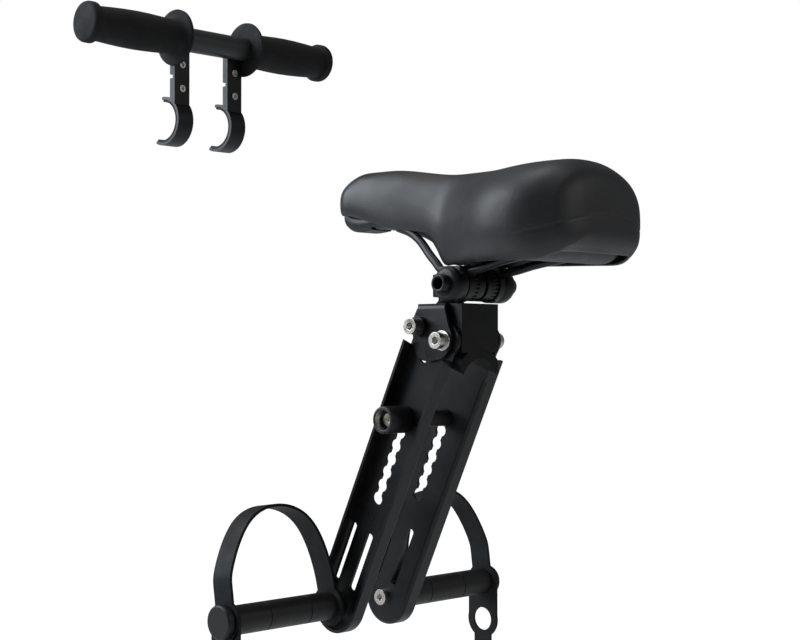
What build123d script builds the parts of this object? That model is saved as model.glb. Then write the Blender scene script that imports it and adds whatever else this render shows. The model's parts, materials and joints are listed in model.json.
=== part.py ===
"""Child's saddle seat that straddles a bicycle's top tube, with its own short handlebar."""

import os
from math import cos, pi, radians, sin, sqrt

from build123d import *

# Bicycle that the set fits
tube_r = 22.5
tube_slope = 20.0
bike_bar_r = 17.5

# Sheet steel bracket over the top tube
sheet = 3.0
ear_in = 26.0
plate_top = 58.5
plate_front = 24.0
plate_rear = -24.0
panel_half = 22.0
front_panel_half = 18.0
return_low = 39.0
return_len = 20.0
bend_out = 4.5
rear_panel_low = 20.0
front_panel_low = 36.0
lobe_r = 17.0
lobe_y = -2.0
lobe_z = 31.0
ear_top_rear = -11.0
ear_front = 23.0
ear_front_r = 18.0
ear_cut_y = 9.0
ear_cut_z = 12.0

# Rubber pad between bracket and tube
pad_t = 8.0
pad_half_angle = 62.0
pad_half_width = 22.0
pad_length = 52.0

# Legs, drawn in a leaning plane: u forward, v down the leg
leg_tilt = 25.0
leg_y = -0.5
leg_z = 34.0
leg_in = 23.1
leg_t = 2.5
leg_half = 22.75
leg_shift = -1.25
flange_h = 13.5
bend_r = 3.0
pivot_u = -11.0
index_u = 16.0
index_step = 11.0
index_holes = 6
flange_front_v = 17.5
flange_rear_v = 12.0
slot_u = 2.0
notch_v = 75.0
notch_pitch = 12.0
notches = 7
notch_r = 5.0
neck = 6.0
long_slot_v = 176.7
long_slot_len = 52.5
long_slot_w = 5.0
long_slot_u = 6.0
long_slot_gap = 20.0
peg_v = 243.6

# Screws
pivot_r = 4.0
index_r = 3.0
head_r = 6.5
head_h = 8.0
washer_r = 8.0
washer_t = 1.6
spacer_t = 4.0
nut_r = 7.5
nut_h = 4.0
run_gap = 0.05

# Cross rod below the top tube
rod_r = 2.6
sleeve_r = 7.0
knob_r = 11.0
knob_len = 20.0
rod_nut_h = 5.0
rod_washer_r = 9.0

# Foot pegs and rubber straps
peg_r = 11.5
peg_start = 33.0
peg_end = 155.0
peg_cap_r = 13.5
peg_cap_t = 6.0
peg_bolt_r = 4.0
strap_w = 20.0
strap_t = 2.5
strap_gap = 3.5
eyelet_r = 16.5
spare_hole_r = 10.3
loop_up = 85.0
loop_lean = 8.0
tail_down = 62.0
spare_down = 34.0

# Saddle
nose_y = 129.0
saddle_len = 268.0
nose_half = 17.0
rear_half = 71.0
nose_top = 138.3
nose_low = 130.5
rail_r = 3.5
rail_half = 22.0
rail_up = 10.0

# Saddle clamp on the post stub
post_y = 7.0
post_r = 11.1
post_h = 26.0
clamp_y = -18.6
clamp_z = 73.3
band_t = 3.0
band_h = 18.0
lug_half = 8.0
washer_disc_r = 13.0
cheek_r = 14.0
clamp_bolt_r = 4.0
clamp_nut_r = 7.0
clamp_nut_h = 7.0
clamp_bolt_half = 44.5

# Child's handlebar
bar_y = 303.2
bar_z = 306.3
bar_r = 11.0
bar_wall = 2.0
bar_half = 136.0
grip_inner = 40.6
grip_outer = 142.5
grip_r = 17.2
grip_flange_r = 25.5
grip_knob_r = 18.2
bar_clamp_x = 31.5
bar_clamp_w = 17.5
band_ring_t = 3.5
strap_back = 3.0
strap_part = 6.0
strap_front = 10.0
bike_bar_dy = 19.5
bike_bar_dz = -74.0
liner_t = 2.0
hook_t = 2.8
hook_start = 140.0
hook_end = 297.0
claw_start = 85.0
screw_drop = 23.0
screw_gap = 22.0
screw_r = 2.0
screw_head_r = 3.3
screw_head_h = 1.2
parting_drop = 34.0
parting_gap = 2.0

os.makedirs("parts", exist_ok=True)


def save(name, shape):
    shape.label = name
    export_step(shape, f"parts/{name}.step")


def save_pair(name, shape):
    save(f"left_{name}", shape)
    save(f"right_{name}", mirror(shape, about=Plane.YZ))


def rod_x(r, x0, x1, y, z):
    return Pos((x0 + x1) / 2, y, z) * Rot(0, 90, 0) * Cylinder(r, abs(x1 - x0))


def hex_x(r, x0, x1, y, z):
    flat = Plane(origin=(min(x0, x1), y, z), z_dir=(1, 0, 0)) * RegularPolygon(r, 6)
    return extrude(flat, abs(x1 - x0))


def cap_screw_x(shank, head, height, x_tip, x_under, y, z):
    """Socket screw along X, its head on the far side of x_under from x_tip."""
    way = 1 if x_under > x_tip else -1
    top = x_under + way * height
    body = rod_x(shank, x_tip, x_under, y, z) + rod_x(head, x_under, top, y, z)
    socket = hex_x(head * 0.5, top, top - way * height * 0.55, y, z)
    return body - socket


# Where things lie on the leaning leg
lean_c = cos(radians(leg_tilt))
lean_s = sin(radians(leg_tilt))


def leg_point(u, v):
    return leg_y + u * lean_c + v * lean_s, leg_z + u * lean_s - v * lean_c


def leg_plane(x):
    return Plane(origin=(x, leg_y, leg_z), x_dir=(0, lean_c, lean_s), z_dir=(-1, 0, 0))


pivot = leg_point(pivot_u, 0)
index = leg_point(index_u, 0)
peg = leg_point(0, peg_v)
rod = leg_point(slot_u, notch_v)
index_arm = index_u - pivot_u
ear_out = ear_in + sheet
web_out = leg_in + leg_t


def along_tube(r, length):
    """Round bar on the sloping tube's axis, centred on the origin."""
    return Rot(tube_slope - 90, 0, 0) * Cylinder(r, length)


# Rubber pad: an arch on the tube, trimmed between the legs
pad_out = tube_r + pad_t
wedge_x = pad_out * 2 * sin(radians(pad_half_angle))
wedge_z = pad_out * 2 * cos(radians(pad_half_angle))
wedge = Polygon((0, 0), (wedge_x, wedge_z), (0, pad_out * 3), (-wedge_x, wedge_z), align=None)
pad_face = (Circle(pad_out) - Circle(tube_r)) & wedge
pad_face = pad_face & Pos(0, pad_out) * Rectangle(pad_half_width * 2, pad_out * 3)
pad_plane = Plane(origin=(0, pad_length / 2, 0), x_dir=(1, 0, 0), z_dir=(0, -1, 0))
pad = extrude(pad_plane * pad_face, pad_length)
pad = Rot(tube_slope, 0, 0) * pad
save("tube_pad", pad)

# Bracket: top plate, two ears and two arched panels from one folded sheet
plate_len = plate_front - plate_rear
plate_mid = (plate_front + plate_rear) / 2
bracket = Pos(0, plate_mid, plate_top - sheet / 2) * Box(ear_out * 2, plate_len, sheet)
ear_plane = Plane(origin=(-ear_in, 0, 0), x_dir=(0, 1, 0), z_dir=(1, 0, 0))
front_mid = ear_front - ear_front_r
ear_face = Polygon(
    (ear_top_rear, plate_top),
    (lobe_y - lobe_r, lobe_z),
    (lobe_y, lobe_z - lobe_r),
    (front_mid, lobe_z - ear_front_r),
    (ear_front, lobe_z),
    (ear_front, plate_top - ear_cut_z),
    (ear_front - ear_cut_y, plate_top),
    align=None,
)
ear_face += Pos(lobe_y, lobe_z) * Circle(lobe_r)
ear_face += Pos(front_mid, lobe_z) * Circle(ear_front_r)
ear = extrude(ear_plane * ear_face, -sheet)
ear = ear - rod_x(pivot_r, -ear_out - 1, -ear_in + 1, pivot[0], pivot[1])
ear = ear - rod_x(index_r, -ear_out - 1, -ear_in + 1, index[0], index[1])
trim_len = ear_top_rear - plate_rear
side_trim = Pos(-ear_in, plate_rear + trim_len / 2, plate_top) * Box(sheet * 4, trim_len, sheet * 2)
bracket = bracket - side_trim - mirror(side_trim, about=Plane.YZ)
corner = Polygon(
    (ear_out, ear_front - ear_cut_y),
    (ear_out, plate_front),
    (front_panel_half + 2, plate_front),
    align=None,
)
corner = Pos(0, 0, plate_top - sheet) * extrude(corner, sheet)
bracket = bracket - corner - mirror(corner, about=Plane.YZ)
bracket = bracket + ear + mirror(ear, about=Plane.YZ)
bend_x = ear_out - bend_out
bend_z = plate_top - bend_out
fold = Pos(bend_x, plate_mid, bend_z) * Rot(90, 0, 0) * Cylinder(bend_out, plate_len * 2)
sharp = Pos(bend_x + bend_out, plate_mid, plate_top) * Box(bend_out * 2, plate_len * 2, bend_out * 2)
bracket = bracket - (sharp - fold) - mirror(sharp - fold, about=Plane.YZ)
rear_y = plate_rear + sheet / 2
front_y = plate_front - sheet / 2
panels = ((panel_half, rear_y, rear_panel_low), (front_panel_half, front_y, front_panel_low))
for half, panel_y, low in panels:
    tall = plate_top - low
    bracket += Pos(0, panel_y, plate_top - tall / 2) * Box(half * 2, sheet, tall)
return_h = plate_top - return_low
return_mid = (panel_half - sheet / 2, plate_rear + return_len / 2, plate_top - return_h / 2)
wall = Pos(*return_mid) * Box(sheet, return_len, return_h)
bracket += wall + mirror(wall, about=Plane.YZ)
bracket = bracket - along_tube(pad_out, pad_length * 3)
bracket = bracket - Pos(0, post_y, plate_top) * Cylinder(post_r, sheet * 3)
save("top_bracket", bracket)

# Post stub with its weld bead on the top plate
post = Pos(0, post_y, plate_top - sheet + (post_h + sheet) / 2) * Cylinder(post_r, post_h + sheet)
post = post - Pos(0, post_y, plate_top + post_h / 2) * Cylinder(post_r - 2.5, post_h * 3)
bead_h = 3.0
bead = Pos(0, post_y, plate_top + bead_h / 2) * Cone(post_r + bead_h, post_r, bead_h)
bead = bead - Pos(0, post_y, plate_top) * Cylinder(post_r - 0.5, 20)
save("seat_post", post + bead)

# Legs: pressed channels with the flanges outward
side_len = peg_v - flange_front_v / 2
side_mid = peg_v - side_len / 2
outline = Pos(leg_shift, side_mid) * Rectangle(leg_half * 2, side_len)
outline += Pos(leg_shift, peg_v) * Circle(leg_half)
tray = extrude(leg_plane(-leg_in) * outline, flange_h)
rim = [e for e in tray.faces().sort_by(Axis.X)[-1].edges()]
tray = fillet(rim, bend_r)
hollow_half = leg_half - leg_t
hollow = Pos(leg_shift, side_mid - leg_half) * Rectangle(hollow_half * 2, side_len + leg_half * 2)
hollow += Pos(leg_shift, peg_v) * Circle(hollow_half)
pocket = extrude(leg_plane(-web_out) * hollow, flange_h)
tray = tray - pocket
notch_off = Polygon(
    (-leg_half * 2, -leg_half * 2),
    (leg_half * 2, -leg_half * 2),
    (leg_half * 2, flange_front_v),
    (0, flange_front_v),
    (0, flange_rear_v),
    (-leg_half * 2, flange_rear_v),
    align=None,
)
tray = tray - extrude(leg_plane(-web_out) * notch_off, flange_h)
head_back_r = lobe_r * 0.8
index_end_r = index_r + 4.0
head = Polygon(
    (leg_shift - leg_half, flange_rear_v * 2.5),
    (leg_shift - leg_half, 0),
    (pivot_u, -head_back_r),
    (index_u, -index_end_r),
    (leg_shift + leg_half - 1, 0),
    (leg_shift + leg_half, flange_rear_v * 2.5),
    align=None,
)
head += Pos(pivot_u, 0) * Circle(head_back_r)
head += Pos(index_u, 0) * Circle(index_end_r)
leg = tray + extrude(leg_plane(-leg_in) * head, leg_t)
cuts = Pos(pivot_u, 0) * Circle(pivot_r + run_gap)
for n in range(index_holes):
    turn = radians(index_step * n)
    cuts += Pos(pivot_u + index_arm * cos(turn), index_arm * sin(turn)) * Circle(index_r + 1.0)
sweep_end = radians(index_step * (index_holes - 1))
lane = index_r + 0.4
ring = Pos(pivot_u, 0) * (Circle(index_arm + lane) - Circle(index_arm - lane))
reach = index_arm * 2
ring = ring & Polygon(
    (pivot_u, 0),
    (pivot_u + reach, 0),
    (pivot_u + reach * cos(sweep_end / 2), reach * sin(sweep_end / 2)),
    (pivot_u + reach * cos(sweep_end), reach * sin(sweep_end)),
    align=None,
)
cuts += ring
for n in range(notches):
    cuts += Pos(slot_u, notch_v + notch_pitch * n) * Circle(notch_r)
run = notch_pitch * (notches - 1)
cuts += Pos(slot_u, notch_v + run / 2) * Rectangle(neck, run)
for side in (-1, 1):
    middle = Pos(long_slot_u + side * long_slot_gap / 2, long_slot_v + long_slot_len / 2)
    cuts += middle * Rot(0, 0, 90) * SlotOverall(long_slot_len, long_slot_w)
cuts += Pos(0, peg_v) * Circle(peg_bolt_r)
leg = leg - extrude(leg_plane(-leg_in + 1) * cuts, leg_t + 2)
save_pair("leg", leg)

# Pivot bolts with a bright washer, index bolts with a dark spacer, low nuts inside the webs
pivot_washer = rod_x(washer_r, -ear_out, -ear_out - washer_t, pivot[0], pivot[1])
pivot_hole = rod_x(pivot_r, 0, -ear_out * 2, pivot[0], pivot[1])
save_pair("pivot_washer", pivot_washer - pivot_hole)
pivot_under = -ear_out - washer_t
nut_face = -leg_in + run_gap
bolt = cap_screw_x(pivot_r, head_r, head_h, nut_face + nut_h, pivot_under, pivot[0], pivot[1])
save_pair("pivot_bolt", bolt)
save_pair("pivot_nut", hex_x(nut_r, nut_face + nut_h, nut_face, pivot[0], pivot[1]) - pivot_hole)
spacer = rod_x(washer_r, -ear_out, -ear_out - spacer_t, index[0], index[1])
index_hole = rod_x(index_r, 0, -ear_out * 2, index[0], index[1])
save_pair("index_spacer", spacer - index_hole)
bolt = cap_screw_x(index_r, head_r, head_h, nut_face + nut_h, -ear_out - spacer_t, index[0], index[1])
save_pair("index_bolt", bolt)
save_pair("index_nut", hex_x(nut_r * 0.9, nut_face + nut_h, nut_face, index[0], index[1]) - index_hole)

# Cross rod: sleeve between the webs, knob on the left, flanged nut on the right
sleeve_half = leg_in - run_gap
sleeve = rod_x(sleeve_r, -sleeve_half, sleeve_half, *rod) - rod_x(rod_r, -99, 99, *rod)
save("rod_sleeve", sleeve)
rod_face = web_out + run_gap
knob_out = -rod_face - knob_len
knob = rod_x(knob_r, -rod_face, knob_out, *rod)
knob = fillet([e for e in knob.edges().filter_by(GeomType.CIRCLE)], 1.5)
dish = rod_x(knob_r * 0.72, knob_out - 1, knob_out + 4, *rod)
knob = knob - dish - rod_x(rod_r, -99, 99, *rod)
save("rod_knob", knob)
rod_tip = rod_face + washer_t + rod_nut_h + 2
shank = rod_x(rod_r, knob_out + 4, rod_tip, *rod)
shank += rod_x(rod_r * 2, knob_out + 4, knob_out + 0.5, *rod)
shank -= hex_x(rod_r * 1.1, knob_out, knob_out + 2.5, *rod)
save("cross_rod", shank)
rod_hole = rod_x(rod_r, 0, 99, *rod)
rod_nut = rod_x(rod_washer_r, rod_face, rod_face + washer_t, *rod)
rod_nut += hex_x(nut_r * 0.9, rod_face, rod_face + washer_t + rod_nut_h, *rod)
save("rod_nut", rod_nut - rod_hole)

# Foot pegs, each on a bolt and a bright nut outside the web, with end caps
thread_end = -peg_start - 30
peg_solid = rod_x(peg_r, -peg_start, -peg_end, *peg)
for x in (-peg_end * 0.74, -peg_end * 0.46):
    peg_solid -= rod_x(peg_r + 1, x, x - 1.2, *peg) - rod_x(peg_r - 0.6, x + 1, x - 2, *peg)
peg_solid -= rod_x(peg_bolt_r, 0, thread_end, *peg)
save_pair("foot_peg", peg_solid)
peg_nut = hex_x(nut_r, -web_out, -peg_start, *peg) - rod_x(peg_bolt_r, 0, thread_end, *peg)
save_pair("peg_nut", peg_nut)
cap_out = -peg_end - peg_cap_t
cap = rod_x(peg_cap_r, -peg_end, cap_out, *peg)
cap_rim = [e for e in cap.edges().filter_by(GeomType.CIRCLE) if e.center().X < cap_out + 0.1]
save_pair("peg_cap", fillet(cap_rim, 2.0))
save_pair("peg_bolt", cap_screw_x(peg_bolt_r, head_r, head_h * 0.7, thread_end, -leg_in, *peg))

# Rubber foot straps: a band in a loop over the peg, with an eyelet at each end and a tail
eye_in = -leg_in - flange_h - strap_gap - strap_t
eye_out = -peg_end + strap_t
loop_mid = (eye_in + eye_out) / 2
loop_half = abs(eye_out - eye_in) / 2
low = peg[1]
path = Spline(
    (eye_in, low + peg_r * 0.5),
    (eye_in - loop_half * 0.08, low + loop_up * 0.45),
    (loop_mid + loop_half * 0.55, low + loop_up * 0.88),
    (loop_mid, low + loop_up),
    (loop_mid - loop_half * 0.55, low + loop_up * 0.88),
    (eye_out + loop_half * 0.03, low + loop_up * 0.45),
    (eye_out, low + peg_r * 0.5),
    tangents=((0, 1), (0, -1)),
)


def side_of(path, gap, steps=24):
    made = []
    for n in range(steps + 1):
        at = path @ (n / steps)
        way = path % (n / steps)
        made.append((at.X - way.Y * gap, at.Y + way.X * gap))
    return made


over = side_of(path, strap_t / 2)
under = side_of(path, -strap_t / 2)
edges = Spline(*over, tangents=((0, 1), (0, -1))) + Line(over[-1], under[-1])
edges += Spline(*under, tangents=((0, 1), (0, -1))) + Line(under[0], over[0])
band_plane = Plane(origin=(0, peg[0] + strap_w / 2, 0), x_dir=(1, 0, 0), z_dir=(0, -1, 0))
lean = Pos(0, peg[0], peg[1]) * Rot(-loop_lean, 0, 0) * Pos(0, -peg[0], -peg[1])
strap = lean * extrude(band_plane * make_face(edges), strap_w)


def eyelet(x, tail):
    """Flat rubber end with the peg hole, on the plane across the peg."""
    flat = Plane(origin=(x + strap_t / 2, peg[0], peg[1]), x_dir=(0, 1, 0), z_dir=(-1, 0, 0))
    face = Circle(eyelet_r) + Rot(0, 0, loop_lean) * Pos(0, -peg_r) * Rectangle(strap_w, peg_r)
    if tail:
        face += Pos(0, tail_down / 2) * Rectangle(strap_w * 0.92, tail_down)
        face += Pos(0, spare_down) * Circle(eyelet_r)
        face += Pos(0, tail_down) * Circle(strap_w * 0.46)
        face -= Pos(0, spare_down) * Circle(spare_hole_r)
    face -= Circle(peg_r)
    return extrude(flat * face, strap_t)


strap = strap + eyelet(eye_in, False) + eyelet(eye_out, True)
save_pair("foot_strap", strap - rod_x(peg_r, 0, -peg_end * 1.2, *peg))


def bell(s, start, end):
    t = min(max((s - start) / (end - start), 0.0), 1.0)
    return t * t * (3 - 2 * t)


def saddle_half(s):
    grow = nose_half + (rear_half - nose_half) * bell(s, 0.41, 0.83)
    nose_round = sqrt(min(1.0, 0.05 + s / 0.08))
    rear_round = sqrt(1 - 0.68 * bell(s, 0.8, 1.06) ** 2)
    return grow * nose_round * rear_round


def saddle_top(s):
    front = nose_top + 32 * bell(s, -0.05, 0.17) - 9.3 * bell(s, 0.2, 0.5)
    return front + 8.3 * bell(s, 0.61, 0.96) - 28.4 * bell(s, 0.92, 1.04)


def saddle_low(s):
    return nose_low - 11.4 * bell(s, 0, 0.3) - 29.1 * bell(s, 0.28, 0.54) + 8.7 * bell(s, 0.85, 1.0)


def saddle_ring(s, shrink, low, high, part):
    """One section across the saddle between two heights: a flat floor and a curve over it."""
    w = saddle_half(s) * shrink
    tall = high - low
    lobed = bell(s, 0.6, 0.95)
    dip = tall * 0.05 * lobed
    slope = tall * (0.264 * bell(s, 0.2, 0.45) * (1 - lobed) + 0.094 * lobed)
    right = [
        (w * 0.8, low),
        (w * 0.99, low + tall * part),
        (w * 0.9, low + tall * 0.746),
        (w * 0.5, high - slope),
    ]
    left = [(-x, z) for x, z in reversed(right)]
    ring = Spline(*right, (0, high - dip), *left) + Line(left[-1], right[0])
    at = Plane(origin=(0, nose_y - s * saddle_len, 0), x_dir=(1, 0, 0), z_dir=(0, -1, 0))
    return at * make_face(ring)


def saddle_body(at, shrink, down, up, part):
    """Sections lofted through the stations, up to the top where up is None."""
    rings = []
    for s in at:
        high = saddle_top(s) if up is None else saddle_low(s) + up
        rings.append(saddle_ring(s, shrink, saddle_low(s) - down, high, part))
    return loft(rings)


cover_at = [0.0, 0.05, 0.17, 0.34, 0.52, 0.7, 0.86, 0.96, 1.0]
base_at = cover_at[1:-1]
cover = saddle_body(cover_at, 1.0, 0, None, 0.3)
base_solid = saddle_body(base_at, 0.82, 2, 14, 0.6)
base_pit = saddle_body(base_at[1:-1], 0.73, 9, 10, 0.6)

# Rails: one bent round bar on each side, socketed in the base at nose and rear
flat_z = clamp_z + rail_up
nose_end = (-8.0, nose_y - saddle_len * 0.24, saddle_low(0.24) + 3)
rear_end = (-rail_half - 6, nose_y - saddle_len * 0.9, saddle_low(0.9) + 3)
rail_front = (-rail_half, clamp_y + cheek_r * 1.4, flat_z)
rail_rear = (-rail_half, clamp_y - cheek_r * 3.6, flat_z)
drop_in = (nose_end[0] - 1, nose_end[1] - 20, nose_end[2] - 7)
back = (0, -1, 0)
rail_path = Spline(nose_end, drop_in, rail_front, tangents=((0, -1, -0.2), back))
rail_path += Line(rail_front, rail_rear)
rail_path += Spline(rail_rear, rear_end, tangents=(back, (-0.2, -1, 0.5)))
start = Plane(origin=nose_end, z_dir=(0, -1, -0.2))
rail = sweep(start * Circle(rail_r), path=rail_path)
rails = [rail, mirror(rail, about=Plane.YZ)]
nose_boss = Pos(0, nose_end[1] + 2, nose_end[2] + 1) * Box(34, 24, 14)
rear_boss = Pos(rear_end[0], rear_end[1] + 6, rear_end[2] + 2) * Box(18, 26, 14)
bosses = nose_boss + rear_boss + mirror(rear_boss, about=Plane.YZ)
base = base_solid - base_pit + (bosses & base_solid)
base = base - rails[0] - rails[1]
save("saddle_base", base)
save("saddle_cover", cover - base_solid - rails[0] - rails[1])
save("left_rail", rails[0])
save("right_rail", rails[1])

# Clamp band round the post, its lugs beside the clamp bolt
band_mid = (0, post_y, clamp_z)
band = Pos(*band_mid) * Cylinder(post_r + band_t, band_h)
lug_len = post_y - clamp_y
band += Pos(0, (post_y + clamp_y) / 2, clamp_z) * Box(lug_half * 2, lug_len, band_h)
band += rod_x(washer_disc_r, -lug_half, lug_half, clamp_y, clamp_z)
band -= Pos(0, (post_y + clamp_y * 2) / 2, clamp_z) * Box(band_t, lug_len * 2, band_h * 2)
band -= Pos(*band_mid) * Cylinder(post_r, band_h * 2)
bolt_way = rod_x(clamp_bolt_r + 0.4, -99, 99, clamp_y, clamp_z)
band -= bolt_way
save("clamp_band", band)

# Serrated washers, inner and outer cheeks round the rails
groove = rod_x(clamp_bolt_r, -99, 99, clamp_y, clamp_z)
teeth = 24
inner_face = rail_half - 7
disc = rod_x(washer_disc_r, -lug_half, -inner_face + run_gap, clamp_y, clamp_z)
for n in range(teeth):
    angle = 2 * pi * n / teeth
    spot = clamp_y + washer_disc_r * cos(angle), clamp_z + washer_disc_r * sin(angle)
    disc -= rod_x(0.9, -lug_half - 1, -inner_face - 1, *spot)
save_pair("toothed_washer", disc - bolt_way)
rail_line = Pos(-rail_half, clamp_y, flat_z) * Rot(90, 0, 0) * Cylinder(rail_r, cheek_r * 4)


def cheek(x0, x1):
    """Rounded pressed cheek with a half groove for the rail."""
    body = rod_x(cheek_r, x0, x1, clamp_y, clamp_z)
    shoulder = Pos((x0 + x1) / 2, clamp_y, flat_z) * Box(abs(x1 - x0), cheek_r * 1.7, rail_r * 2.4)
    return body + shoulder - rail_line - groove


split = 0.5
save_pair("inner_cheek", cheek(-inner_face, -rail_half + split))
outer = cheek(-rail_half - split, -rail_half - 7)
save_pair("outer_cheek", outer)
nut_in = -rail_half - 7
nut = hex_x(clamp_nut_r, nut_in, nut_in - clamp_nut_h, clamp_y, clamp_z)
save_pair("clamp_nut", nut - groove)
save("clamp_bolt", rod_x(clamp_bolt_r, -clamp_bolt_half, clamp_bolt_half, clamp_y, clamp_z))

# Child's handlebar: straight tube
bar = rod_x(bar_r, -bar_half, bar_half, bar_y, bar_z) - rod_x(bar_r - bar_wall, -999, 999, bar_y, bar_z)
save("child_bar", bar)

# Grips: barrel with an inner flange and a closed round end
grip_span = grip_outer - grip_inner
flange_w = 4.5
knob_w = 9.0
bulge = Spline(
    (grip_r - 1.5, grip_inner + flange_w),
    (grip_r, grip_inner + grip_span * 0.45),
    (grip_r - 2.0, grip_outer - knob_w),
)
profile = Polyline(
    (grip_r - 2.0, grip_outer - knob_w),
    (grip_knob_r, grip_outer - knob_w),
    (grip_knob_r, grip_outer),
    (0, grip_outer),
    (0, bar_half),
    (bar_r, bar_half),
    (bar_r, grip_inner),
    (grip_flange_r, grip_inner),
    (grip_flange_r, grip_inner + flange_w * 0.6),
    (grip_r - 1.5, grip_inner + flange_w),
)
grip = revolve(make_face(profile + bulge), Axis.Y)
knob_edges = [e for e in grip.edges().filter_by(GeomType.CIRCLE) if abs(e.radius - grip_knob_r) < 0.01]
grip = fillet(knob_edges, (grip_knob_r - grip_r) * 1.4)
grip = Pos(0, bar_y, bar_z) * Rot(0, 0, 90) * grip
save_pair("grip", grip)

# Bar clamps: a rear strap with the hook, upper and lower front jaws, liner, two screws
hook_c = (bike_bar_dy, bike_bar_dz)
hook_in = bike_bar_r + liner_t
hook_out = hook_in + hook_t
ring_out = bar_r + band_ring_t
big = hook_out * 3


def sector(centre, r, start, end, steps=12):
    """Filled pie slice for trimming rings, angles up from forward."""
    turn = [radians(start + (end - start) * n / steps) for n in range(steps + 1)]
    rim = [(centre[0] + r * cos(a), centre[1] + r * sin(a)) for a in turn]
    return Polygon(centre, *rim, align=None)


def block(y0, y1, z0, z1):
    return Pos((y0 + y1) / 2, (z0 + z1) / 2) * Rectangle(abs(y1 - y0), abs(z1 - z0))


behind = block(strap_part - big * 2, strap_part, -big * 4, big * 2)
ahead = block(strap_part, strap_part + big * 2, -big * 4, big * 2)
bar_ring = Circle(ring_out) - Circle(bar_r)
hook_ring = Pos(*hook_c) * (Circle(hook_out) - Circle(hook_in))
hook_round = Pos(*hook_c) * Circle(hook_in)
trunk_low = hook_c[1] + hook_out * sin(radians(hook_start)) * 0.8
trunk = block(strap_back, strap_part, -bar_r, trunk_low)
rear_face = (bar_ring & behind) + trunk + (hook_ring & sector(hook_c, big, hook_start, hook_end))
rear_face = rear_face - Circle(bar_r) - hook_round
upper_low = -parting_drop + parting_gap / 2
lower_high = -parting_drop - parting_gap / 2
upper_face = (bar_ring & ahead) + block(strap_part, strap_front, -bar_r * 0.9, upper_low) - Circle(bar_r)
claw = hook_ring & sector(hook_c, big, claw_start, hook_start + 5)
lower_face = (block(strap_part, strap_front, lower_high, hook_c[1] + hook_in * 0.8) + claw) & ahead
lower_face = lower_face - hook_round - rear_face
side_x = -bar_clamp_x - bar_clamp_w / 2
clamp_plane = Plane(origin=(side_x, bar_y, bar_z), x_dir=(0, 1, 0), z_dir=(1, 0, 0))


def screw_line(r, y0, y1, drop):
    at = Pos(-bar_clamp_x, bar_y + (y0 + y1) / 2, bar_z - drop)
    return at * Rot(90, 0, 0) * Cylinder(r, abs(y1 - y0))


body = extrude(clamp_plane * rear_face, bar_clamp_w)
upper = extrude(clamp_plane * upper_face, bar_clamp_w)
lower = extrude(clamp_plane * lower_face, bar_clamp_w)
head_face = strap_back - screw_head_h
for n, name in enumerate(("upper_screw", "lower_screw")):
    drop = screw_drop + n * screw_gap
    shank = screw_line(screw_r, strap_back, strap_front, drop)
    screw = shank + screw_line(screw_head_r, head_face, strap_back, drop)
    socket = Plane(origin=(-bar_clamp_x, bar_y + head_face, bar_z - drop), z_dir=(0, 1, 0))
    screw -= extrude(socket * RegularPolygon(screw_r * 0.9, 6), screw_head_h * 1.6)
    save_pair(name, screw)
    body -= shank
    upper -= shank
    lower -= shank
save_pair("clamp_body", body)
save_pair("upper_jaw", upper)
save_pair("lower_jaw", lower)
liner_ring = Pos(*hook_c) * (Circle(hook_in) - Circle(bike_bar_r))
liner_face = liner_ring & sector(hook_c, big, claw_start + 5, hook_end - 3)
save_pair("bar_liner", extrude(clamp_plane * liner_face, bar_clamp_w))
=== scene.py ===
import json
from math import cos, exp, radians, sin, sqrt

import bpy
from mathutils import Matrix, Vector

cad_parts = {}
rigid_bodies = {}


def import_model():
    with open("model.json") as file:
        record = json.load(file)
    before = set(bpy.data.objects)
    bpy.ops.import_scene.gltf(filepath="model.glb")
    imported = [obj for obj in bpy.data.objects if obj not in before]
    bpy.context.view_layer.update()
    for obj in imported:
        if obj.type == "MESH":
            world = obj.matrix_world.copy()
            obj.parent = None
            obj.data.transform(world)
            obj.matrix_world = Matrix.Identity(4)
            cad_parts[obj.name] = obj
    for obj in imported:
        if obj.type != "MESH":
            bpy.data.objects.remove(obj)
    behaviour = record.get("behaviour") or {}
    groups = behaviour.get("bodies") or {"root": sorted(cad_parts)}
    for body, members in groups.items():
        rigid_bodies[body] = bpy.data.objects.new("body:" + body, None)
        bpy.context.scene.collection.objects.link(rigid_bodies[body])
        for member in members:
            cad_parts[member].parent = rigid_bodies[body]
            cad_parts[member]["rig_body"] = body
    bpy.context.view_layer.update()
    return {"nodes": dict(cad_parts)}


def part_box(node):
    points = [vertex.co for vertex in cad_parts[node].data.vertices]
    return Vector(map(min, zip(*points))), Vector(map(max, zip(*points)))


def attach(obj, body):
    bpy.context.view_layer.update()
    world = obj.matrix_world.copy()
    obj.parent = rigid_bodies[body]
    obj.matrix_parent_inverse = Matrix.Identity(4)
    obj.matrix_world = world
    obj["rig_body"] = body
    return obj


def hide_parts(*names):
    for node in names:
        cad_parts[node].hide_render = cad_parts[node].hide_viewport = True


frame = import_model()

bpy.ops.object.select_all(action="DESELECT")
scene = bpy.context.scene
scene.view_settings.view_transform = "Standard"

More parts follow.
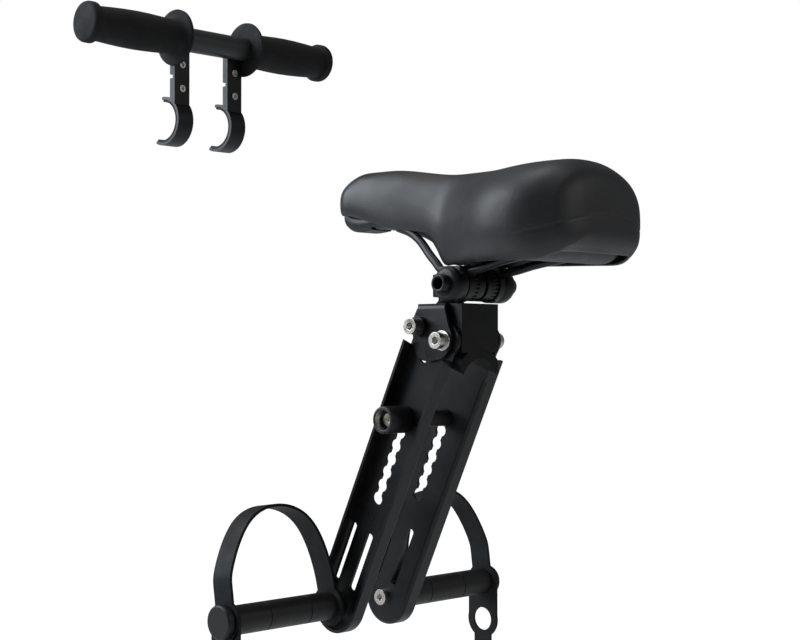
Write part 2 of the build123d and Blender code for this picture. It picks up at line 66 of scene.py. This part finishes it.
# Stage: a wide pale floor well below the part, which the bicycle holds in the air.
# The lens and the camera's place follow the photograph's perspective on an 800 by 640 image.
bpy.ops.mesh.primitive_circle_add(vertices=96, radius=14.0, fill_type="NGON", location=(0, 0, -0.60))
floor = bpy.context.object
floor.name = "studio_floor"
floor_paint = bpy.data.materials.new("pale_floor_paint")
floor_paint.use_nodes = True
nodes = floor_paint.node_tree.nodes
links = floor_paint.node_tree.links
nodes["Principled BSDF"].inputs["Base Color"].default_value = (0.86, 0.86, 0.86, 1)
nodes["Principled BSDF"].inputs["Roughness"].default_value = 0.9
seen = nodes.new("ShaderNodeLightPath")
mirrored = nodes.new("ShaderNodeMath")
mirrored.operation = "MULTIPLY"
mirrored.inputs[1].default_value = 0.16
links.new(seen.outputs["Is Glossy Ray"], mirrored.inputs[0])
share = nodes.new("ShaderNodeMath")
share.operation = "MULTIPLY_ADD"
share.inputs[1].default_value = 0.90
links.new(seen.outputs["Is Camera Ray"], share.inputs[0])
links.new(mirrored.outputs[0], share.inputs[2])
glow = nodes.new("ShaderNodeEmission")
glow.inputs["Color"].default_value = (1, 1, 1, 1)
glow.inputs["Strength"].default_value = 1.16
blend = nodes.new("ShaderNodeMixShader")
links.new(share.outputs[0], blend.inputs["Fac"])
links.new(nodes["Principled BSDF"].outputs["BSDF"], blend.inputs[1])
links.new(glow.outputs["Emission"], blend.inputs[2])
links.new(blend.outputs["Shader"], nodes["Material Output"].inputs["Surface"])
floor.data.materials.append(floor_paint)

focal_px = 1614.5
cam_data = bpy.data.cameras.new("photo_camera")
cam_data.sensor_fit = "HORIZONTAL"
cam_data.sensor_width = 36.0
cam_data.lens = focal_px / 800 * cam_data.sensor_width
cam = bpy.data.objects.new("photo_camera", cam_data)
scene.collection.objects.link(cam)
cam.location = (-0.9686, -0.8469, 0.0206)
aim = Vector((0.7289, 0.6843, 0.0197))
cam.rotation_euler = aim.to_track_quat("-Z", "Y").to_euler()
scene.camera = cam

world = bpy.data.worlds.new("white_room")
scene.world = world
world.use_nodes = True
nodes = world.node_tree.nodes
links = world.node_tree.links
seen = nodes.new("ShaderNodeLightPath")
lit = nodes["Background"]
lit.inputs["Color"].default_value = (0.93, 0.96, 1.0, 1)
lit.inputs["Strength"].default_value = 0.16
bare = nodes.new("ShaderNodeBackground")
bare.inputs["Color"].default_value = (1, 1, 1, 1)
bare.inputs["Strength"].default_value = 1.0
pick = nodes.new("ShaderNodeMixShader")
links.new(seen.outputs["Is Camera Ray"], pick.inputs["Fac"])
links.new(lit.outputs["Background"], pick.inputs[1])
links.new(bare.outputs["Background"], pick.inputs[2])
links.new(pick.outputs["Shader"], nodes["World Output"].inputs["Surface"])

lamp_aim = Vector((0.0, 0.0, 0.05))
for lamp_name, place, width, watts, tint in (
    ("window_left", (-1.25, 1.45, 1.10), 1.8, 56.0, (0.88, 0.94, 1.0)),
    ("fill_right", (0.75, -1.75, 0.85), 0.9, 4.5, (1.0, 0.97, 0.93)),
    ("top_panel", (0.0, 0.3, 1.9), 1.2, 9.0, (1.0, 1.0, 1.0)),
):
    lamp_data = bpy.data.lights.new(lamp_name, "AREA")
    lamp_data.shape = "SQUARE"
    lamp_data.size = width
    lamp_data.energy = watts
    lamp_data.color = tint
    lamp = bpy.data.objects.new(lamp_name, lamp_data)
    scene.collection.objects.link(lamp)
    lamp.location = place
    lamp.rotation_euler = (lamp_aim - Vector(place)).to_track_quat("-Z", "Y").to_euler()

# Top bracket, post stub and clamp band: pressed sheet steel, welded and powder coated satin black.
# The coat rounds the cut edges, so each sheet piece is a copy of its solid with small rounds.
# The ears' front edges are drawn in a little, and the post stub is slimmer than its solid.
coat_grain = bpy.data.node_groups.new("coat_grain", "ShaderNodeTree")
coat_grain.interface.new_socket(name="Vector", in_out="INPUT", socket_type="NodeSocketVector")
for socket in ("Fine Scale", "Patch Scale"):
    coat_grain.interface.new_socket(name=socket, in_out="INPUT", socket_type="NodeSocketFloat")
for socket in ("Grain", "Patch"):
    coat_grain.interface.new_socket(name=socket, in_out="OUTPUT", socket_type="NodeSocketFloat")
group_in = coat_grain.nodes.new("NodeGroupInput")
group_out = coat_grain.nodes.new("NodeGroupOutput")
for scale_name, result, detail in (("Fine Scale", "Grain", 2.0), ("Patch Scale", "Patch", 5.0)):
    noise = coat_grain.nodes.new("ShaderNodeTexNoise")
    noise.inputs["Detail"].default_value = detail
    coat_grain.links.new(group_in.outputs["Vector"], noise.inputs["Vector"])
    coat_grain.links.new(group_in.outputs[scale_name], noise.inputs["Scale"])
    coat_grain.links.new(noise.outputs["Fac"], group_out.inputs[result])


def coated(name, dark, light, gloss, fine, patch, dents, metal=0.0, shine=0.5):
    """Finish with a fine grain in its bump and soft patches in its colour and gloss."""
    made = bpy.data.materials.new(name)
    made.use_nodes = True
    nodes = made.node_tree.nodes
    links = made.node_tree.links
    shader = nodes["Principled BSDF"]
    shader.inputs["Metallic"].default_value = metal
    shader.inputs["Specular IOR Level"].default_value = shine
    place = nodes.new("ShaderNodeTexCoord")
    grain = nodes.new("ShaderNodeGroup")
    grain.name = "grain"
    grain.node_tree = coat_grain
    grain.inputs["Fine Scale"].default_value = fine
    grain.inputs["Patch Scale"].default_value = patch
    links.new(place.outputs["Object"], grain.inputs["Vector"])
    tone = nodes.new("ShaderNodeMix")
    tone.data_type = "RGBA"
    tone.inputs["A"].default_value = (*dark, 1)
    tone.inputs["B"].default_value = (*light, 1)
    links.new(grain.outputs["Patch"], tone.inputs["Factor"])
    links.new(tone.outputs["Result"], shader.inputs["Base Color"])
    spread = nodes.new("ShaderNodeMapRange")
    spread.inputs["From Min"].default_value = 0.3
    spread.inputs["From Max"].default_value = 0.7
    spread.inputs["To Min"].default_value = gloss[0]
    spread.inputs["To Max"].default_value = gloss[1]
    links.new(grain.outputs["Patch"], spread.inputs["Value"])
    links.new(spread.outputs["Result"], shader.inputs["Roughness"])
    relief = nodes.new("ShaderNodeBump")
    relief.name = "relief"
    relief.inputs["Strength"].default_value = dents
    relief.inputs["Distance"].default_value = 0.0004
    links.new(grain.outputs["Grain"], relief.inputs["Height"])
    links.new(relief.outputs["Normal"], shader.inputs["Normal"])
    return made


def even_shading(piece):
    """Smooth rounds between flat faces, worked out anew from the mesh as it is."""
    bpy.ops.mesh.customdata_custom_splitnormals_clear()
    bpy.ops.object.shade_smooth_by_angle(angle=radians(38))
    weighed = piece.modifiers.new("flat_faces", "WEIGHTED_NORMAL")
    weighed.keep_sharp = True
    bpy.ops.object.modifier_apply(modifier="flat_faces")


def eased_copy(node, width, finish, steps=2):
    """Same piece as the solid, with its edges rounded by width."""
    source = frame["nodes"][node]
    piece = bpy.data.objects.new(f"{node}_piece", source.data.copy())
    scene.collection.objects.link(piece)
    bpy.ops.object.select_all(action="DESELECT")
    piece.select_set(True)
    bpy.context.view_layer.objects.active = piece
    bpy.ops.mesh.customdata_custom_splitnormals_clear()
    bpy.ops.object.mode_set(mode="EDIT")
    bpy.ops.mesh.select_all(action="SELECT")
    bpy.ops.mesh.remove_doubles(threshold=0.00002)
    bpy.ops.mesh.dissolve_limited(angle_limit=radians(0.5))
    bpy.ops.object.mode_set(mode="OBJECT")
    rounding = piece.modifiers.new("eased_edges", "BEVEL")
    rounding.width = width
    rounding.segments = steps
    rounding.limit_method = "ANGLE"
    rounding.angle_limit = radians(32)
    rounding.use_clamp_overlap = True
    bpy.ops.object.modifier_apply(modifier="eased_edges")
    even_shading(piece)
    piece.data.materials.clear()
    piece.data.materials.append(finish)
    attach(piece, source["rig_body"])
    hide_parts(node)
    return piece


black_coat = coated(
    "black_powder_coat", (0.004, 0.004, 0.0045), (0.009, 0.009, 0.010), gloss=(0.26, 0.40),
    fine=1400, patch=26, dents=0.12, shine=0.28,
)
bracket = eased_copy("top_bracket", 0.0006, black_coat)
ear_inside, ear_kept_to, ear_shortening = 0.0255, 0.016, 0.26
for v in bracket.data.vertices:
    if abs(v.co.x) > ear_inside and v.co.y > ear_kept_to:
        v.co.y -= (v.co.y - ear_kept_to) * ear_shortening
post = eased_copy("seat_post", 0.0006, black_coat)
post_y, post_slimming = 0.007, 0.87
for v in post.data.vertices:
    v.co.x *= post_slimming
    v.co.y = post_y + (v.co.y - post_y) * post_slimming
eased_copy("clamp_band", 0.0006, black_coat)

# Legs: channels pressed from sheet, notched and slotted, in the same black coat.
# Each hangs on its pivot bolt inside the bracket's ear, with the index spacer outside it.
# The slots are opened out a little, and the front flange runs on up to the ear.
leg_top_y, leg_top_z = -0.5, 34.0
lean_c, lean_s = cos(radians(25)), sin(radians(25))
slot_shift = 0.5
notch_from, notch_to, notch_mid, notch_reach, notch_widening = 68, 154, 2.0, 5.8, 1.12
long_from, long_to, long_mids, long_reach, long_widening = 175, 231, (-4.0, 16.0), 3.4, 1.3
flange_outside, flange_front, flange_from, flange_to, flange_growth = 0.0262, 15, 16.4, 18.6, 4.0
for side in ("left", "right"):
    leg = eased_copy(f"{side}_leg", 0.0005, black_coat)
    for v in leg.data.vertices:
        ahead, above = v.co.y * 1000 - leg_top_y, v.co.z * 1000 - leg_top_z
        u = ahead * lean_c + above * lean_s
        d = ahead * lean_s - above * lean_c
        new_u, new_d = u, d
        if notch_from < d < notch_to and abs(u - notch_mid) < notch_reach:
            new_u = notch_mid + slot_shift + (u - notch_mid) * notch_widening
        for middle in long_mids:
            if long_from < d < long_to and abs(u - middle) < long_reach:
                new_u = middle + slot_shift + (u - middle) * long_widening
        if abs(v.co.x) > flange_outside and u > flange_front and flange_from < d < flange_to:
            new_d = d - flange_growth
        v.co.y += ((new_u - u) * lean_c + (new_d - d) * lean_s) * 0.001
        v.co.z += ((new_u - u) * lean_s - (new_d - d) * lean_c) * 0.001
    eased_copy(f"{side}_index_spacer", 0.0005, black_coat)

# Saddle clamp: serrated washers, cheeks, nuts and a long bolt, all blackened steel.
# The outer cheeks are domed drums with a shoulder over the rail; round socket nuts close on the bolt.
for side in ("left", "right"):
    for piece_name in ("toothed_washer", "inner_cheek"):
        eased_copy(f"{side}_{piece_name}", 0.0005, black_coat)
clamp_bolt = eased_copy("clamp_bolt", 0.0004, black_coat)
bolt_half = 0.0405
for v in clamp_bolt.data.vertices:
    v.co.x = min(max(v.co.x, -bolt_half), bolt_half)


def turned(name, profile, way, mid_y, mid_z):
    """Rings drawn out along X from one circle through (place, radius) pairs in mm, closed at both ends."""
    bpy.ops.object.select_all(action="DESELECT")
    along, wide = profile[0]
    bpy.ops.mesh.primitive_circle_add(
        vertices=72, radius=wide * 0.001, location=(along * way, mid_y, mid_z), rotation=(0, radians(90), 0)
    )
    made = bpy.context.object
    made.name = name
    bpy.ops.object.transform_apply(location=True, rotation=True, scale=True)
    bpy.ops.object.mode_set(mode="EDIT")
    bpy.ops.mesh.select_all(action="SELECT")
    for next_along, next_wide in profile[1:]:
        bpy.ops.mesh.extrude_region_move(TRANSFORM_OT_translate={"value": ((next_along - along) * way, 0, 0)})
        grow = next_wide / wide
        bpy.ops.transform.resize(value=(1, grow, grow), center_override=(next_along * way, mid_y, mid_z))
        along, wide = next_along, next_wide
    bpy.ops.mesh.select_all(action="SELECT")
    bpy.ops.mesh.fill_holes(sides=0)
    bpy.ops.mesh.select_all(action="SELECT")
    bpy.ops.mesh.normals_make_consistent(inside=False)
    bpy.ops.object.mode_set(mode="OBJECT")
    bpy.ops.object.shade_smooth_by_angle(angle=radians(50))
    return made


clamp_y, clamp_z, rail_z = -0.0186, 0.0733, 0.0833
drum = (
    (22.5, 1.0), (22.5, 13.5), (23.0, 14.0), (30.9, 14.0), (32.6, 13.7), (34.2, 12.9), (35.5, 11.6), (36.2, 10.2),
    (36.5, 8.4), (36.5, 1.0),
)
socket_nut = (
    (36.5, 4.1), (36.5, 7.2), (43.0, 7.2), (43.7, 6.9), (44.0, 6.2), (44.0, 5.0), (43.7, 4.7), (40.5, 4.6),
    (40.5, 4.1),
)
shoulder_x, shoulder_size = 26.7, (0.0084, 0.0238, 0.0077)
both_ways = (("left", -0.001), ("right", 0.001))
for side, way in both_ways:
    bpy.ops.object.select_all(action="DESELECT")
    bpy.ops.mesh.primitive_cube_add(size=1.0, location=(shoulder_x * way, clamp_y, rail_z), scale=shoulder_size)
    shoulder = bpy.context.object
    bpy.ops.object.transform_apply(location=True, rotation=True, scale=True)
    rounding = shoulder.modifiers.new("pressed_edges", "BEVEL")
    rounding.width = 0.0012
    rounding.segments = 3
    bpy.ops.object.modifier_apply(modifier="pressed_edges")
    bpy.ops.object.shade_smooth_by_angle(angle=radians(50))
    cheek = turned(f"{side}_outer_cheek_drum", drum, way, clamp_y, clamp_z)
    shoulder.select_set(True)
    bpy.ops.object.join()
    nut = turned(f"{side}_socket_nut", socket_nut, way, clamp_y, clamp_z)
    for piece, node in ((cheek, f"{side}_outer_cheek"), (nut, f"{side}_clamp_nut")):
        piece.data.materials.clear()
        piece.data.materials.append(black_coat)
        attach(piece, "saddle")
        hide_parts(node)

# Rails: one round bar on each side, bent, black, lying between the cheeks.
# Both ends are pushed into the shell, close together at the nose and wider apart at the rear.
rail_r = 0.0035
rail_stops = (
    (8, 56.6, 122.0), (10, 38, 115.3), (20, 6, 92.3), (22, -6, 83.4), (22, -34, 83.3), (24.5, -62, 88.8),
    (28, -101.5, 94.5),
)
for side, way in both_ways:
    bpy.ops.object.select_all(action="DESELECT")
    bpy.ops.curve.primitive_bezier_curve_add(location=(0, 0, 0))
    rail = bpy.context.object
    rail.name = f"{side}_bent_rail"
    rail.data.splines.clear()
    run = rail.data.splines.new("BEZIER")
    run.bezier_points.add(len(rail_stops) - 1)
    for knot, (x, y, z) in zip(run.bezier_points, rail_stops):
        knot.co = (x * way, y * 0.001, z * 0.001)
        knot.handle_left_type = "AUTO"
        knot.handle_right_type = "AUTO"
    run.resolution_u = 14
    rail.data.dimensions = "3D"
    rail.data.bevel_depth = rail_r
    rail.data.bevel_resolution = 6
    rail.data.use_fill_caps = True
    bpy.ops.object.convert(target="MESH")
    bpy.ops.object.shade_smooth_by_angle(angle=radians(50))
    rail.data.materials.clear()
    rail.data.materials.append(black_coat)
    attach(rail, "saddle")
    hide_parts(f"{side}_rail")

# Screws, washers and nuts: zinc plated steel with a slightly yellow, brushed shine.
# They hold the legs, pegs, bar clamps and cross rod.
zinc = coated(
    "zinc_plate", (0.46, 0.44, 0.40), (0.70, 0.68, 0.64), gloss=(0.20, 0.36),
    fine=900, patch=60, dents=0.10, metal=1.0,
)
for side in ("left", "right"):
    for piece_name in ("pivot_bolt", "pivot_washer", "pivot_nut", "index_bolt", "index_nut"):
        eased_copy(f"{side}_{piece_name}", 0.0004, zinc)
    for piece_name in ("peg_bolt", "peg_nut", "upper_screw", "lower_screw"):
        eased_copy(f"{side}_{piece_name}", 0.0003, zinc)
for node in ("cross_rod", "rod_nut"):
    eased_copy(node, 0.0003, zinc)

# Plastic pieces: moulded black nylon with a fine spark texture.
# Pegs, their caps, the rod's sleeve and knob, and the shell under the saddle.
# A band of the knob's cup wall round the screw's head takes the bright zinc finish as a painted highlight of
# light falling on that wall.
nylon = coated(
    "black_nylon", (0.005, 0.005, 0.005), (0.011, 0.011, 0.012), gloss=(0.40, 0.56),
    fine=1100, patch=34, dents=0.22, shine=0.38,
)
for side in ("left", "right"):
    eased_copy(f"{side}_foot_peg", 0.0006, nylon)
    eased_copy(f"{side}_peg_cap", 0.0006, nylon)
eased_copy("rod_sleeve", 0.0006, nylon)
shell = eased_copy("saddle_base", 0.0006, nylon)
knob_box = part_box("rod_knob")
knob_y = (knob_box[0][1] + knob_box[1][1]) / 2
knob_z = (knob_box[0][2] + knob_box[1][2]) / 2
knob_turning = (
    (25.7, 2.7), (25.7, 9.5), (26.1, 10.6), (27.2, 11.0), (50.2, 11.0), (51.3, 10.6), (51.7, 9.6), (51.7, 8.4),
    (51.3, 7.9), (50.6, 7.7), (42.7, 7.7), (42.7, 2.7),
)
knob = turned("rod_cup_knob", knob_turning, -0.001, knob_y, knob_z)
knob.data.materials.append(nylon)
knob.data.materials.append(zinc)
# Painted highlight: faces of the cup's inner wall in this band get the bright zinc finish to stand in for light
# on the wall.
highlight_band_from, highlight_band_to, highlight_band_lean = 0.0070, 0.0080, 0.3
for face in knob.data.polygons:
    across = (face.center.yz - Vector((knob_y, knob_z))).length
    if highlight_band_from < across < highlight_band_to and abs(face.normal.x) < highlight_band_lean:
        face.material_index = 1
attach(knob, "rod")
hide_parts("rod_knob")

# Rubber pieces: the pad on the tube, the liners in the hooks and the foot straps.
# Moulded in one go, matte, with a dull bloom. The pad is trimmed flush with the bracket's rear,
# and webs on both flanks make the straps' tails run broad from the peg to the spare hole.
soft_rubber = coated(
    "matte_rubber", (0.005, 0.005, 0.0053), (0.011, 0.011, 0.0116), gloss=(0.52, 0.72),
    fine=700, patch=40, dents=0.20, shine=0.2,
)
pad = eased_copy("tube_pad", 0.0010, soft_rubber)
bracket_rear = -0.024
bpy.ops.object.mode_set(mode="EDIT")
bpy.ops.mesh.select_all(action="SELECT")
bpy.ops.mesh.bisect(plane_co=(0, bracket_rear, 0), plane_no=(0, -1, 0), use_fill=True, clear_outer=True)
bpy.ops.object.mode_set(mode="OBJECT")
even_shading(pad)
peg_y, peg_z = 0.10245, -0.1868
tail_x, tail_half, tail_mid = 152.55, 1.2, -17.0
web_edge, web_edge_half, web_root, web_root_half = 16.0, 13.0, 6.0, 1.5
for side, way in both_ways:
    eased_copy(f"{side}_bar_liner", 0.0004, soft_rubber)
    tie = eased_copy(f"{side}_foot_strap", 0.0009, soft_rubber, steps=3)
    for flank in (-1, 1):
        bpy.ops.object.select_all(action="DESELECT")
        bpy.ops.mesh.primitive_cube_add(size=2.0)
        web = bpy.context.object
        web.data.materials.append(soft_rubber)
        for v in web.data.vertices:
            beside, half = (web_edge, web_edge_half) if v.co.y > 0 else (web_root, web_root_half)
            down = tail_mid + v.co.z * half
            v.co = ((tail_x + v.co.x * tail_half) * way, peg_y + flank * beside * 0.001, peg_z + down * 0.001)
        tie.select_set(True)
        bpy.context.view_layer.objects.active = tie
        bpy.ops.object.join()
    bpy.ops.object.mode_set(mode="EDIT")
    bpy.ops.mesh.select_all(action="SELECT")
    bpy.ops.mesh.normals_make_consistent(inside=False)
    bpy.ops.object.mode_set(mode="OBJECT")

# Child's bar and its clamps: steel tube in dark grey lacquer, on black straps that hook round the bicycle's bar.
# Two small screws hold each strap's halves. The straps meet the tube from below,
# so the solids' ring round it is cut away, and the gap between the jaws is a little wider.
lacquer = coated(
    "grey_lacquer", (0.012, 0.012, 0.013), (0.022, 0.022, 0.024), gloss=(0.34, 0.48),
    fine=1500, patch=30, dents=0.06,
)
eased_copy("child_bar", 0.0004, lacquer)
ring_start, strap_rise = 0.2912, 0.0107
upper_jaw_low, lower_jaw_high, parting_ease = 0.2745, 0.2702, 0.0008
for side in ("left", "right"):
    for piece_name in ("clamp_body", "upper_jaw", "lower_jaw"):
        strap = eased_copy(f"{side}_{piece_name}", 0.0005, black_coat)
        if piece_name != "lower_jaw":
            bpy.ops.object.mode_set(mode="EDIT")
            bpy.ops.mesh.select_all(action="SELECT")
            bpy.ops.mesh.bisect(plane_co=(0, 0, ring_start), plane_no=(0, 0, 1), use_fill=True, clear_outer=True)
            bpy.ops.mesh.extrude_region_move(TRANSFORM_OT_translate={"value": (0, 0, strap_rise)})
            bpy.ops.object.mode_set(mode="OBJECT")
            even_shading(strap)
        for v in strap.data.vertices:
            if piece_name == "upper_jaw" and v.co.z < upper_jaw_low:
                v.co.z += parting_ease
            if piece_name == "lower_jaw" and v.co.z > lower_jaw_high:
                v.co.z -= parting_ease

# Grips: barrel shaped foam rubber sleeves with a wide thin guard at the inner end and a closed round end.
# Each is drawn out of one ring along the bar, and pushed on to the tube up to its closed end.
foam = coated(
    "grip_foam", (0.004, 0.004, 0.0045), (0.010, 0.010, 0.011), gloss=(0.70, 0.88),
    fine=1700, patch=60, dents=0.35, shine=0.3,
)
bar_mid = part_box("child_bar")
bar_y = (bar_mid[0][1] + bar_mid[1][1]) / 2
bar_z = (bar_mid[0][2] + bar_mid[1][2]) / 2
grip_turning = (
    (136.2, 2.0), (136.2, 11.05), (40.6, 11.05), (40.6, 24.7), (40.9, 25.3), (42.4, 25.5), (43.2, 25.1),
    (43.7, 23.6), (44.3, 20.6), (45.4, 18.1), (47.5, 16.6), (52.0, 16.0), (62.0, 16.4), (76.0, 17.0),
    (88.0, 17.2), (102.0, 16.9), (116.0, 16.2), (127.0, 15.4), (131.6, 15.2), (132.8, 15.6), (133.4, 17.2),
    (134.6, 18.1), (137.0, 18.2), (139.8, 18.1), (141.3, 17.5), (142.2, 16.2), (142.5, 14.5), (142.8, 9.0),
    (142.9, 2.0),
)
for side, way in both_ways:
    grip = turned(f"{side}_grip_sleeve", grip_turning, way, bar_y, bar_z)
    grip.data.materials.append(foam)
    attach(grip, "base")
    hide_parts(f"{side}_grip")

# Saddle cover: black vinyl drawn over moulded foam and tucked round the shell's rim.
# A grid is wrapped into rings from nose to rear, each moved on to the saddle's section at its station.
# The rear swells into one full round, and a sewn seam arches across it.
vinyl = coated(
    "black_vinyl", (0.008, 0.008, 0.009), (0.017, 0.018, 0.020), gloss=(0.38, 0.54),
    fine=1000, patch=24, dents=0.20,
)
vinyl_nodes = vinyl.node_tree.nodes
vinyl_links = vinyl.node_tree.links
creases = vinyl_nodes.new("ShaderNodeTexNoise")
creases.inputs["Scale"].default_value = 150.0
creases.inputs["Detail"].default_value = 4.0
creases.inputs["Distortion"].default_value = 1.2
leaning = vinyl_nodes.new("ShaderNodeMapping")
leaning.inputs["Rotation"].default_value = (radians(35), 0, 0)
leaning.inputs["Scale"].default_value = (0.9, 2.2, 0.9)
places = vinyl_nodes.new("ShaderNodeTexCoord")
vinyl_links.new(places.outputs["Object"], leaning.inputs["Vector"])
vinyl_links.new(leaning.outputs["Vector"], creases.inputs["Vector"])
where = vinyl_nodes.new("ShaderNodeTexNoise")
where.inputs["Scale"].default_value = 16.0
where.inputs["Detail"].default_value = 1.0
vinyl_links.new(places.outputs["Object"], where.inputs["Vector"])
patchy = vinyl_nodes.new("ShaderNodeMapRange")
patchy.inputs["From Min"].default_value = 0.45
patchy.inputs["From Max"].default_value = 0.65
patchy.inputs["To Min"].default_value = 0.02
patchy.inputs["To Max"].default_value = 0.16
vinyl_links.new(where.outputs["Fac"], patchy.inputs["Value"])
folds = vinyl_nodes.new("ShaderNodeBump")
folds.inputs["Distance"].default_value = 0.0012
vinyl_links.new(patchy.outputs["Result"], folds.inputs["Strength"])
vinyl_links.new(creases.outputs["Fac"], folds.inputs["Height"])
vinyl_links.new(folds.outputs["Normal"], vinyl_nodes["relief"].inputs["Normal"])
saddle_nose, saddle_length = 124.6, 264.0


def ease(s, start, end):
    """Smooth step from 0 at start to 1 at end."""
    t = min(max((s - start) / (end - start), 0.0), 1.0)
    return t * t * (3 - 2 * t)


def lower_edge(s):
    """Height of the cover's rim at a station."""
    low = 135.5 - 16.4 * ease(s, 0, 0.3) - 4.6 * ease(s, 0.3, 0.41) - 26.8 * ease(s, 0.395, 0.485)
    low -= 0.8 * ease(s, 0.75, 0.92)
    return low + 16.0 * (1 - sqrt(1 - min(max((s - 0.91) / 0.1, 0.0), 1.0) ** 2))


def section_corners(s):
    """Corner points across the saddle at a station, from the underside's middle round to it again."""
    grow = 17.0 + 54.0 * ease(s, 0.405, 0.83)
    blunt = max(0.0, 1 - (s + 0.004) / 0.066)
    w = grow * sqrt(1 - blunt**2) * sqrt(1 - 0.60 * ease(s, 0.8, 1.06) ** 2)
    high = 152.0 + 18.3 * ease(s, -0.06, 0.11) - 8.3 * ease(s, 0.2, 0.5)
    high += 2.2 * ease(s, 0.61, 0.9) - 17.0 * ease(s, 0.94, 1.07)
    low = lower_edge(s)
    tall = high - low
    power = 2.3 - 0.6 * ease(s, 0.15, 0.4) * (1 - ease(s, 0.5, 0.9))
    tuck = ease(s, 0.035, 0.048) * (1 - ease(s, 0.962, 0.975))
    half = [
        (0.0, low + 15.4 * tuck),
        (w * 0.43, low + 15.4 * tuck),
        (w * 0.77, low + 11.4 * tuck),
        (w * (0.80 + 0.03 * tuck), low + 7.6 * tuck),
        (w * (0.77 + 0.035 * tuck), low + 4.4 * tuck),
        (w * 0.735, low + 1.0 * tuck),
        (w * 0.75, low - 0.2),
        (w * 0.82, low + 0.3),
        (w * 0.92, low + tall * 0.09),
        (w * 0.985, low + tall * 0.24),
    ]
    for q in (1.0, 0.98, 0.93, 0.85, 0.75, 0.62, 0.48, 0.32, 0.16, 0.0):
        half.append((w * q, high - 0.6 * tall * (1 - (1 - q**power) ** (1 / power))))
    return half + [(-x, z) for x, z in reversed(half[1:-1])]


def smooth_ring(corners, count):
    """Even points on a closed smooth curve through the corners."""
    fine = []
    total = len(corners)
    for n in range(total):
        a, b, c, d = (Vector(corners[(n + k) % total]) for k in (-1, 0, 1, 2))
        for k in range(12):
            t = k / 12
            pull = (c - a) * (t - 2 * t * t + t**3) * 0.5 + (d - b) * (t**3 - t * t) * 0.5
            fine.append(b * (1 - 3 * t * t + 2 * t**3) + c * (3 * t * t - 2 * t**3) + pull)
    run = [0.0]
    for p, q in zip(fine, fine[1:] + fine[:1]):
        run.append(run[-1] + (q - p).length)
    even = []
    k = 0
    for n in range(count):
        goal = run[-1] * n / count
        while run[k + 1] < goal:
            k += 1
        part = (goal - run[k]) / max(run[k + 1] - run[k], 1e-9)
        even.append(fine[k].lerp(fine[(k + 1) % len(fine)], part))
    return even


around, rows = 72, []
nose_bulge, rear_bulge = 0.6, 8.0
for r in (0.03, 0.45, 0.8, 0.95):
    rows.append((0.0, r, nose_bulge * (1 - r**4)))
for n in range(7):
    rows.append((n * 0.011, 1.0, 0.0))
for n in range(44):
    rows.append((0.085 + 0.915 * n / 43, 1.0, 0.0))
for r in (0.96, 0.91, 0.85, 0.77, 0.67, 0.55, 0.4, 0.22, 0.03):
    rows.append((1.0, r, -rear_bulge * (1 - r**5)))
bpy.ops.object.select_all(action="DESELECT")
bpy.ops.mesh.primitive_grid_add(x_subdivisions=around, y_subdivisions=len(rows) - 1, size=1.0)
cover = bpy.context.object
cover.name = "saddle_skin"
for j, (s, r, beyond) in enumerate(rows):
    ring = smooth_ring(section_corners(s), around)
    middle = sum(ring, Vector((0, 0))) / around
    for i in range(around + 1):
        x, z = middle + (ring[i % around] - middle) * r
        y = saddle_nose - saddle_length * s + beyond
        cover.data.vertices[j * (around + 1) + i].co = (x * 0.001, y * 0.001, z * 0.001)
bpy.ops.object.mode_set(mode="EDIT")
bpy.ops.mesh.select_all(action="SELECT")
bpy.ops.mesh.remove_doubles(threshold=0.00001)
bpy.ops.mesh.fill_holes(sides=0)
bpy.ops.mesh.select_all(action="SELECT")
bpy.ops.mesh.normals_make_consistent(inside=False)
bpy.ops.object.mode_set(mode="OBJECT")
swell = cover.modifiers.new("smooth_skin", "SUBSURF")
swell.levels = 2
swell.render_levels = 2
bpy.ops.object.modifier_apply(modifier="smooth_skin")
seam_top, seam_fall, seam_half = 121.5, 9.0, 50.0
seam_full_y, seam_end_y = -114.0, -98.0
groove_depth, groove_width = 0.4, 0.9
puff_height, puff_below, puff_width = 0.9, 12.0, 9.0
normals = [v.normal.copy() for v in cover.data.vertices]
for v, out in zip(cover.data.vertices, normals):
    x, y, z = v.co * 1000
    seam_z = seam_top - seam_fall * (x / seam_half) ** 2
    behind = 1 - ease(y, seam_full_y, seam_end_y)
    gap = z - seam_z
    groove = -groove_depth * exp(-((gap / groove_width) ** 2)) * behind
    puff = puff_height * exp(-(((gap + puff_below) / puff_width) ** 2)) * behind
    v.co += out * (groove + puff) * 0.001
bpy.ops.object.shade_smooth()
cover.data.materials.append(vinyl)
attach(cover, "saddle")
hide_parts("saddle_cover")

# Shell under the cover: the nylon moulding made above, fitted to the cover's rim by the same stations.
# It is lifted where the saddle flares and let down by a hair at the nose.
flare_lift, nose_drop = 0.0080, 0.0006
for v in shell.data.vertices:
    s = (saddle_nose - v.co.y * 1000) / saddle_length
    lift = flare_lift * ease(s, 0.27, 0.395) * (1 - ease(s, 0.40, 0.47))
    v.co.z += lift - nose_drop * (1 - ease(s, 0.1, 0.2))
